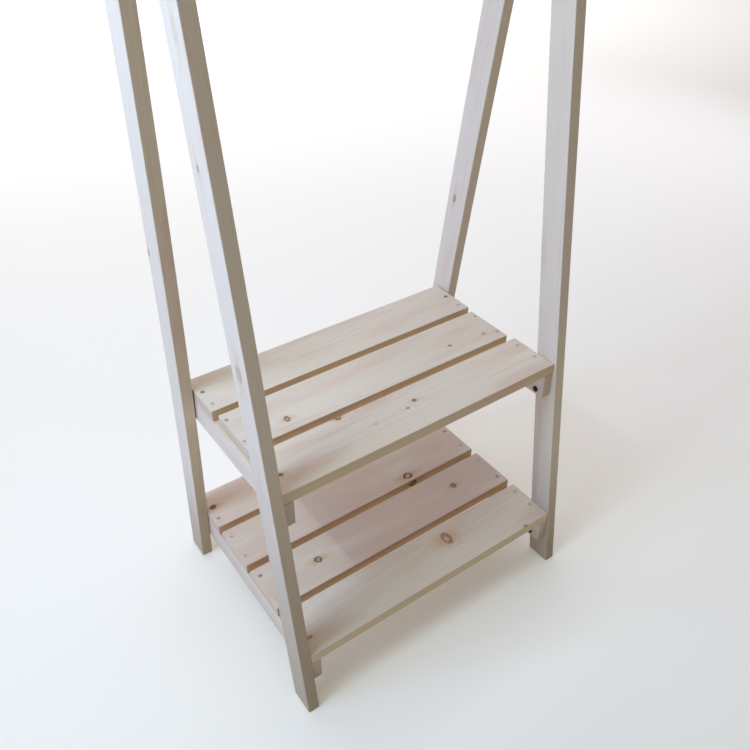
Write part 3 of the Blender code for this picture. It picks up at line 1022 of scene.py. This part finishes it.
print("shelf tops at", round(upper_z, 3), "and", round(lower_z, 3), "m")

# %% [markdown]
# ## The upper shelf
# The upper shelf's boards are pale and quiet: the middle one has a loose ring knot and two pin
# knots, and the front one a few pin knots and half a knot cut off by its back edge.

# %% Make the upper shelf
UPPER_SLATS = {
    "slat_upper_1": dict(
        pith=(0, 0.020, -0.085), ring_width=0.0036, warmth_and_shade=0.42, contrast=0.20, seed=1.3, knots=[
            knot(0.0124, -0.1005, upper_z, 0.0027, 0.0029, 0.75, 0.75),
            knot(-0.0078, -0.1099, upper_z, 0.0019, 0.0020, 0.6, 0.6),
            knot(-0.0701, -0.1121, upper_z, 0.0022, 0.0020, 0.25, 0.25),
            knot(-0.2416, -0.1231, upper_z, 0.0029, 0.0027, 0.8, 0.8),
            knot(-0.1096, -0.0680, upper_z, 0.0034, 0.0036, 1.0, 0.30),
            knot(-0.0500, -0.0700, upper_z, 0.0110, 0.0090, 0.0, 0.0, 0.30)]),
    "slat_upper_2": dict(
        pith=(0, -0.062, -0.050), ring_width=0.0032, warmth_and_shade=0.40, contrast=0.26, seed=4.1, knots=[
            knot(-0.1736, -0.0245, upper_z, 0.0036, 0.0048, 0.85, 0.20),
            knot(0.1528, -0.0181, upper_z, 0.0022, 0.0022, 0.7, 0.7),
            knot(0.2247, -0.0238, upper_z, 0.0020, 0.0022, 0.55, 0.6)]),
    "slat_upper_3": dict(pith=(0, 0.050, -0.110), ring_width=0.0040, warmth_and_shade=0.45, contrast=0.16, seed=7.7),
}
# The rails' narrow sides take less of the painted shade.
UPPER_RAIL = dict(pith=(0, -0.045, 0.030), ring_width=0.0028, contrast=0.24, side_shade=0.4)

for node, look in UPPER_SLATS.items():
    board_piece(node, ALONG_X, [slat_cutter], **look)
for node, seed in (("rail_upper_left", 11.0), ("rail_upper_right", 12.5)):
    board_piece(node, ALONG_Y, [slat_cutter, bolt_cutter], seed=seed, **UPPER_RAIL)
print("upper shelf:", len(UPPER_SLATS), "slats and 2 rails")

# %% [markdown]
# ## The lower shelf
# The lower shelf's boards are livelier. A big knot leaves the third slat through its front edge,
# the second has two ringed knots, and the front one a large pale eye.

# %% Make the lower shelf
EDGE_KNOT_DROP = 0.0095
LOWER_SLATS = {
    "slat_lower_1": dict(
        pith=(0, 0.035, -0.070), ring_width=0.0034, warmth_and_shade=0.32, contrast=0.20, seed=21.0, knots=[
            knot(0.0663, -0.1436, lower_z, 0.0070, 0.0110, 0.60, 0.05, 1.0),
            knot(0.2048, -0.2040, lower_z, 0.0024, 0.0020, 0.6, 0.5, deep=0.002),
            knot(-0.2452, -0.1751, lower_z, 0.0040, 0.0022, 0.55, 0.4)]),
    # Painted shade: slats 2 and 3 are pushed nearly fully rosy for the warm shade that the upper shelf casts on
    # them.
    "slat_lower_2": dict(
        pith=(0, 0.070, -0.040), ring_width=0.0030, warmth_and_shade=0.95, contrast=0.28, seed=24.0, knots=[
            knot(-0.1494, -0.0498, lower_z, 0.0054, 0.0056, 0.9, 0.35, 1.0),
            knot(0.1623, -0.0475, lower_z, 0.0042, 0.0050, 0.7, 0.60, 1.0)]),
    "slat_lower_3": dict(
        pith=(0, -0.055, -0.060), ring_width=0.0032, warmth_and_shade=0.95, contrast=0.26, seed=27.0, knots=[
            knot(0.1055, 0.0249, lower_z, 0.0078, 0.0062, 1.0, 0.15, 1.0),
            knot(0.1075, 0.0105, lower_z - EDGE_KNOT_DROP, 0.0075, 0.0050, 0.95, 0.5,
                 deep=0.006, sideways=True)]),
    "slat_lower_4": dict(
        pith=(0, 0.015, -0.095), ring_width=0.0037, warmth_and_shade=0.70, contrast=0.22, seed=30.0, knots=[
            knot(-0.2463, 0.1710, lower_z, 0.0046, 0.0044, 0.9, 0.9),
            knot(-0.1602, 0.1741, lower_z, 0.0018, 0.0018, 0.7, 0.7)]),
}
# The lower rails' narrow sides take less of the painted shade.
LOWER_RAIL = dict(pith=(0, 0.040, 0.028), ring_width=0.0030, contrast=0.24, side_shade=0.4, dark_below=0.12)

for node, look in LOWER_SLATS.items():
    board_piece(node, ALONG_X, [slat_cutter], **look)
for node, seed in (("rail_lower_left", 14.0), ("rail_lower_right", 15.5)):
    board_piece(node, ALONG_Y, [slat_cutter, bolt_cutter], seed=seed, **LOWER_RAIL)
print("lower shelf:", len(LOWER_SLATS), "slats and 2 rails")

# %% [markdown]
# ## The legs
# A leg is an eased board that stands with level ends and leans like a pushed-over stack of
# cards: each slice keeps its shape and only slides. A back leg also springs outwards, because
# it is bolted tight at the shelves and has to pass outside the front leg. A held beam bends by
# the rule (3s^2 - s^3) / 2, with s from 0 at the clamp to 1 at its end, and goes on straight
# above that, rising 3/2 as steeply.

# %% The beam rule
STRAIGHT_RISE = 1.5


def beam_bend(tree, given, height):
    """How far a held beam has bent at a height, as a share of the way at its end."""
    above = maths(tree, "SUBTRACT", height, given["Clamp"])
    span = maths(tree, "SUBTRACT", given["Cross"], given["Clamp"])
    share = maths(tree, "MAXIMUM", maths(tree, "DIVIDE", above, span), 0.0)
    held = maths(tree, "MINIMUM", share, 1.0)
    square = maths(tree, "MULTIPLY", held, held)
    curve = maths(tree, "MULTIPLY", square, maths(tree, "MULTIPLY_ADD", held, -0.5, 1.5))
    past = maths(tree, "MAXIMUM", maths(tree, "SUBTRACT", share, 1.0), 0.0)
    return maths(tree, "ADD", curve, maths(tree, "MULTIPLY", past, STRAIGHT_RISE))


print("clamped at", round(CLAMP_HEIGHT, 3), "m, crossing at", round(CROSS_HEIGHT, 3), "m")

# %% [markdown]
# The leg's tree takes the eased board, whose length runs along X, and stands it up. Each point's
# height comes from its X, and then it slides with the lean and the bend.

# %% The leaning leg tree
def leaning_leg():
    sockets = {"Width": "Float", "Thickness": "Float", "Height": "Float", "Edge": "Float", "Steps": "Int",
               "Foot": "Vector", "Lean": "Float", "Clamp": "Float", "Cross": "Float", "Spring": "Float",
               "Finish": "Material"}
    tree, given, result = new_tree("leaning leg", "GeometryNodeTree", sockets, {"Geometry": "Geometry"})
    inputs = {label: given[label] for label in ("Width", "Thickness", "Edge", "Steps")}
    inputs["Length"] = given["Height"]
    board = add_node(tree, "GeometryNodeGroup", inputs, node_tree=EASED_BOARD).outputs[0]
    here = parts_of(tree, tree.nodes.new("GeometryNodeInputPosition").outputs[0])
    foot = parts_of(tree, given["Foot"])
    height = maths(tree, "MULTIPLY_ADD", given["Height"], 0.5, here["X"])
    bent = maths(tree, "MULTIPLY", beam_bend(tree, given, height), given["Spring"])
    x = maths(tree, "ADD", maths(tree, "ADD", foot["X"], here["Z"]), bent)
    y = maths(tree, "MULTIPLY_ADD", height, given["Lean"], maths(tree, "ADD", foot["Y"], here["Y"]))
    point = add_node(tree, "ShaderNodeCombineXYZ", {"X": x, "Y": y, "Z": height}).outputs[0]
    inputs = {"Geometry": board, "Position": point}
    leant = add_node(tree, "GeometryNodeSetPosition", inputs).outputs["Geometry"]
    end_tree(tree, leant, given["Finish"], result)
    return tree


LEANING_LEG = leaning_leg()
print("leaning leg:", len(LEANING_LEG.nodes), "nodes")

# %% [markdown]
# ## One bore for the rod
# The rod passes through both legs of a side, so they share one bore, a hair wider than the rod.
# It is turned upright like everything else from the lathe, and then laid along X at the height
# where the legs cross. The rod itself is laid down the same way later.

# %% Make the bore
BORE_SIDES = 64
LAID_DOWN = Matrix.Translation((0.0, 0.0, CROSS_HEIGHT)) @ Matrix.Rotation(math.pi / 2, 4, "Y")


def laid_rod(name, profile, sides):
    made = turned(name, profile, sides)
    made.data.transform(LAID_DOWN)
    scene.collection.objects.link(made)
    return made


reach, wide = rod_high.x, ROD_RADIUS + POCKET_GAP
bore = laid_rod("rod_bore", [(0.0, reach), (wide, reach), (wide, -reach), (0.0, -reach)], BORE_SIDES)
print("bore", round(wide * 2000, 1), "mm wide at", round(CROSS_HEIGHT, 3), "m")

# %% [markdown]
# ## Four legs
# Board space for a leg's material has X up the leg, Y across its width and Z outwards. The back
# legs' spring is read at their tops, so it is divided by how far the beam rule has got there.

# %% Place and cut a leg
LEG_STEPS = 40
# The legs' narrow sides take less of the painted shade.
LEG_SIDE_SHADE = 0.45
BEAM_AT_TOP = 1.0 + STRAIGHT_RISE * ((LEG_TOP - CROSS_HEIGHT) / (CROSS_HEIGHT - CLAMP_HEIGHT))


def leg_place(side, back):
    foot = Vector((side * FOOT.x, back * FOOT.y, 0.0))
    upwards = Vector((0.0, -back * math.sin(LEAN), math.cos(LEAN)))
    outwards = Vector((1.0, 0.0, 0.0))
    turn = Matrix((upwards, outwards.cross(upwards), outwards)).transposed().to_4x4()
    return foot, Matrix.Translation(foot) @ turn


def leg_piece(node, **look):
    side = 1.0 if node.endswith("right") else -1.0
    back = 1.0 if "back" in node else -1.0
    foot, place = leg_place(side, back)
    finish = pine(f"{node}_pine", place, side_shade=LEG_SIDE_SHADE, **look)
    spring = side * BACK_SPRING / BEAM_AT_TOP if back > 0 else 0.0
    values = {"Width": LEG_LEVEL_WIDTH, "Thickness": LEG_THICK, "Height": LEG_TOP, "Edge": EDGE,
              "Steps": LEG_STEPS, "Foot": foot, "Lean": -back * LEAN_SLOPE, "Clamp": CLAMP_HEIGHT,
              "Cross": CROSS_HEIGHT, "Spring": spring, "Finish": finish}
    mesh = grow(node, LEANING_LEG, values, cutters=[bore, rod_cutter, bolt_cutter])
    return piece(f"{node}_board", mesh, [node], finish)


print("the beam rule reaches", round(BEAM_AT_TOP, 3), "at the top")

# %% [markdown]
# The front left leg carries an oval knot and two small ones; the others are nearly clear. The
# left legs are darker towards their feet than the right ones.

# %% Make the legs
LEGS = {
    "leg_front_left": dict(
        pith=(0, 0.030, 0.030), ring_width=0.0042, warmth_and_shade=0.35, contrast=0.16, seed=41.0, dark_below=0.62, knots=[
            leg_knot(-0.2813, -0.1160, 0.632, 0.0100, 0.0060, 0.28, 0.16, 0.45),
            leg_knot(-0.2813, -0.0700, 1.023, 0.0100, 0.0050, 0.06, 0.03, 0.3),
            leg_knot(-0.2813, -0.0790, 0.886, 0.0030, 0.0020, 0.5, 0.4)]),
    "leg_back_left": dict(
        pith=(0, -0.050, 0.045), ring_width=0.0044, warmth_and_shade=0.30, contrast=0.14, seed=44.0, dark_below=0.30,
        knots=[leg_knot(-0.2850, 0.1270, 0.695, 0.0045, 0.0022, 0.6, 0.5)]),
    "leg_front_right": dict(
        pith=(0, 0.045, -0.030), ring_width=0.0036, warmth_and_shade=0.25, contrast=0.15, seed=47.0, dark_below=0.30),
    "leg_back_right": dict(
        pith=(0, -0.040, -0.035), ring_width=0.0038, warmth_and_shade=0.25, contrast=0.15, seed=50.0, dark_below=0.15,
        knots=[leg_knot(0.2640, 0.1230, 0.632, 0.0065, 0.0030, 0.45, 0.35)]),
}
for node, look in LEGS.items():
    leg_piece(node, **look)
print(len(LEGS), "legs, each", round(LEG_TOP, 3), "m tall")

# %% [markdown]
# ## The hanging rod
# The rod is turned from the same softwood and sanded round. Its outline has a small eased edge
# at each end, where a sanding block has broken the corner. Four screw pockets are cut into it,
# and that is the last cut, so the cutters can go.

# %% Make the rod
ROD_SIDES = 96
ROD_EASE = 0.0016
EASE_STEPS = 4


def rod_profile():
    upper = [(0.0, rod_high.x)]
    for step in range(EASE_STEPS + 1):
        angle = math.pi / 2 * step / EASE_STEPS
        radius = ROD_RADIUS - ROD_EASE + ROD_EASE * math.sin(angle)
        upper.append((radius, rod_high.x - ROD_EASE + ROD_EASE * math.cos(angle)))
    return upper + [(radius, -height) for radius, height in reversed(upper)]


rod_blank = laid_rod("rod_blank", rod_profile(), ROD_SIDES)
cut_with(rod_blank, [rod_cutter])
rod_mesh = plain_mesh(rod_blank, "hanging_rod_turned")
rod_place = Matrix.Translation((0.0, 0.0, CROSS_HEIGHT))
rod_look = dict(pith=(0, 0.020, -0.030), ring_width=0.0024, warmth_and_shade=0.45, contrast=0.30, seed=60.0)
rod_pine = pine("rod_pine", rod_place, **rod_look)
piece("hanging_rod_turned", rod_mesh, ["hanging_rod"], rod_pine)
for helper in (rod_blank, bore, slat_cutter, rod_cutter, bolt_cutter):
    bpy.data.objects.remove(helper, do_unlink=True)
print("rod", round(2 * rod_high.x, 3), "m long,", round(2000 * ROD_RADIUS, 1), "mm thick")

# %% [markdown]
# ## The floor
# The rack stands on a wide, pale, matt floor. A faint glow of its own keeps the shadows under
# the shelves soft, as a bright room does. The floor lies a hair below the feet, so that the two
# faces don't fight for the same place.

# %% Lay the floor
FLOOR_RADIUS = 40.0
FLOOR_SIDES = 96
FLOOR_DROP = 0.0002
FLOOR_PAINT = (0.80, 0.77, 0.70, 1.0)
FLOOR_LOOK = {"Base Color": FLOOR_PAINT, "Roughness": 0.9, "Specular IOR Level": 0.1,
              "Emission Color": FLOOR_PAINT, "Emission Strength": 0.22}

floor_paint, floor_tree, floor_shader = new_material("floor_paint")
for label, value in FLOOR_LOOK.items():
    floor_shader.inputs[label].default_value = value
shape = bmesh.new()
bmesh.ops.create_circle(shape, cap_ends=True, segments=FLOOR_SIDES, radius=FLOOR_RADIUS)
floor = new_object("floor", mesh_from(shape, "floor"))
floor.location.z = -FLOOR_DROP
floor.data.materials.append(floor_paint)
floor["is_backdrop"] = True
print("floor", 2 * FLOOR_RADIUS, "m across")

# %% [markdown]
# ## The lights
# Soft light comes from large panels. A cool window far to the left lights the legs' sides, and a
# small one nearer the rack adds to the left pair. A neutral panel hangs overhead, and one on the
# right fills the shade. A long thin tube up on the left draws the upper shelf's shadow across
# the lower one: it casts a crisp edge across its length and a soft one along it. The last panel
# only brightens the floor behind.

# %% Hang the lights
def panel(name, place, look_at, size, power, colour):
    light = bpy.data.lights.new(name, "AREA")
    light.shape = "RECTANGLE"
    light.size, light.size_y = size
    light.energy = power
    light.color = colour
    ahead = (Vector(look_at) - Vector(place)).normalized()
    right = ahead.cross(UP).normalized()
    turn = Matrix((right, right.cross(ahead), -ahead)).transposed().to_4x4()
    new_object(name, light).matrix_world = Matrix.Translation(place) @ turn


panel("window", (-8.0, 0.8, 1.8), (0.0, 0.0, 0.8), (7.6, 3.2), 335.0, (0.40, 0.51, 1.0))
panel("near window", (-1.15, 0.05, 1.75), (-0.28, 0.0, 1.15), (0.6, 0.6), 14.5, (0.47, 0.63, 1.0))
panel("overhead", (-0.3, 0.2, 3.2), (0.0, 0.0, 0.4), (2.6, 2.6), 31.5, (0.98, 0.96, 1.0))
panel("tube", (-1.30, -0.20, 2.08), (-0.1, -0.10, 0.12), (0.60, 0.03), 7.2, (0.62, 1.0, 0.88))
panel("right fill", (2.8, 0.5, 1.6), (0.0, 0.0, 0.7), (2.0, 2.0), 17.0, (0.76, 0.78, 1.0))
panel("backdrop", (1.6, 5.0, 4.2), (2.0, 7.0, 0.0), (9.0, 6.0), 520.0, (0.88, 0.91, 1.0))

# %% [markdown]
# What no lamp reaches still gets a little light from the walls, so the world is a faint warm
# grey. Colours are shown as they are, without a film curve.

# %% Set the world
ROOM_COLOUR = (1.0, 0.86, 0.74, 1.0)
ROOM_STRENGTH = 0.12

world = bpy.data.worlds.new("studio")
world.use_nodes = True
background = world.node_tree.nodes["Background"]
background.inputs["Color"].default_value = ROOM_COLOUR
background.inputs["Strength"].default_value = ROOM_STRENGTH
scene.world = world
scene.view_settings.view_transform = "Standard"
print("room light", ROOM_STRENGTH)

# %% [markdown]
# ## How far the size grew
# The finer pieces must fill the same box as the frame. We print how far each side of the box grew.

# %% Print the growth
low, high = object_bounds()
for label, change in (("low", cad_low - low), ("high", high - cad_high)):
    print("grew", label, "by", [round(1000 * part, 2) for part in change], "mm")
